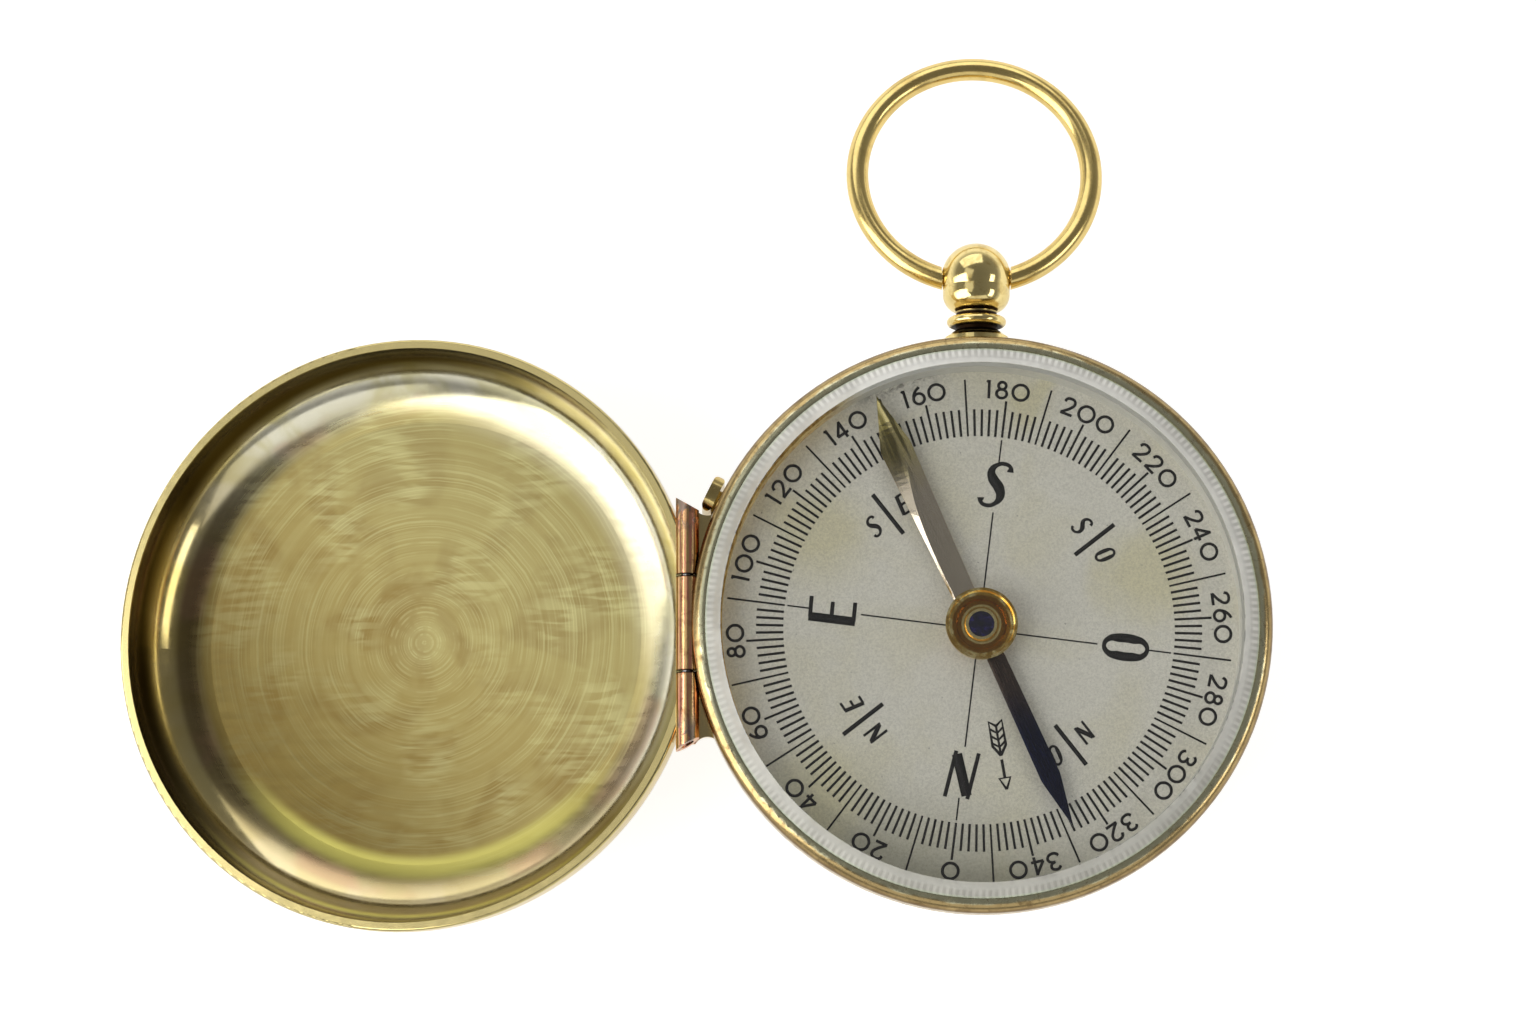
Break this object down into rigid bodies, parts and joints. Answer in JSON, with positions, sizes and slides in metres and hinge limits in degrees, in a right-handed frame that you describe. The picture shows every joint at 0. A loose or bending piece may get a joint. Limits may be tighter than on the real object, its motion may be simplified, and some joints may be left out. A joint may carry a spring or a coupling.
{
  "type": "geology compass",
  "caption": "Pocket compass in a round brass case: hinged lid lying open, bevelled glass, degree dial, pivoted needle with hub, needle lock, pendant and bow.",
  "frame": {"origin": "centre of the flat case back, on the needle's axis", "axes": "+Z out of the glass along the needle's axis, +Y to the pendant, -X to the lid hinge"},
  "size_m": [0.0901, 0.07, 0.0174],
  "materials": {
    "case_brass": "polished, lightly tarnished yellow brass",
    "lid_brass": "turned inside with fine rings, polished outside",
    "bow_brass": "bright pale polished brass",
    "hinge_brass": "polished coppery brass with solder marks",
    "inner_brass": "plain turned brass",
    "hub_brass": "rich gold turned brass",
    "bevelled_glass": "clear plate glass with a bevelled edge",
    "silvered_dial": "fine grained matt silvered plate with dark markings",
    "needle_steel": "polished steel, north arm blued",
    "steel": "plain steel",
    "jewel": "dark blue polished stone"
  },
  "bodies": {
    "case": {"case_body": "case_brass", "bezel_ring": "case_brass", "crystal": "bevelled_glass", "dial_plate": "silvered_dial", "dial_retaining_ring": "silvered_dial", "dial_seat_ring": "inner_brass", "pivot_boss": "inner_brass", "pivot_post": "steel", "lever_bracket": "inner_brass", "lever_pivot_pin": "steel", "lever_spring": "steel", "spring_screw": "steel", "case_knuckle": "hinge_brass", "case_hinge_web": "case_brass", "hinge_pin": "steel", "pendant_knob": "bow_brass", "pendant_nut": "inner_brass"},
    "lid": {"lid_shell": "lid_brass", "lid_knuckle_upper": "hinge_brass", "lid_knuckle_lower": "hinge_brass"},
    "bow": {"bow_ring": "bow_brass"},
    "lock": {"lock_lever": "inner_brass"},
    "lifter": {"lifter_sleeve": "inner_brass"},
    "needle": {"needle_blade": "needle_steel", "needle_hub": "hub_brass", "jewel_cup": "jewel", "needle_collar": "hub_brass"}
  },
  "joints": [
    {"name": "lid_swing", "type": "hinge", "parent": "case", "child": "lid", "pos_m": [-0.02275, 0, 0.01065], "axis": [0, 1, 0], "range_deg": [0, 193]},
    {"name": "bow_swing", "type": "hinge", "parent": "case", "child": "bow", "pos_m": [0, 0.0281, 0.0062], "axis": [1, 0, 0], "range_deg": [-88, 112]},
    {"name": "lock_lever_rock", "type": "hinge", "parent": "case", "child": "lock", "pos_m": [-0.01163, 0.0058, 0.00485], "axis": [-0.4462, -0.8949, 0], "range_deg": [0, 2.1], "stiffness_Nm_per_rad": 0.005, "springref_deg": -5.73, "deforming": ["lever_spring"]},
    {"name": "lifter_rise", "type": "slide", "parent": "case", "child": "lifter", "axis": [0, 0, 1], "range_m": [0, 0.00047]},
    {"name": "needle_spin", "type": "hinge", "parent": "lifter", "child": "needle", "pos_m": [0, 0, 0.0092], "axis": [0, 0, 1], "continuous": true}
  ],
  "couplings": [
    {"joint": "lock_lever_rock", "follows": "lifter_rise", "rad_per_m": 76.923}
  ]
}
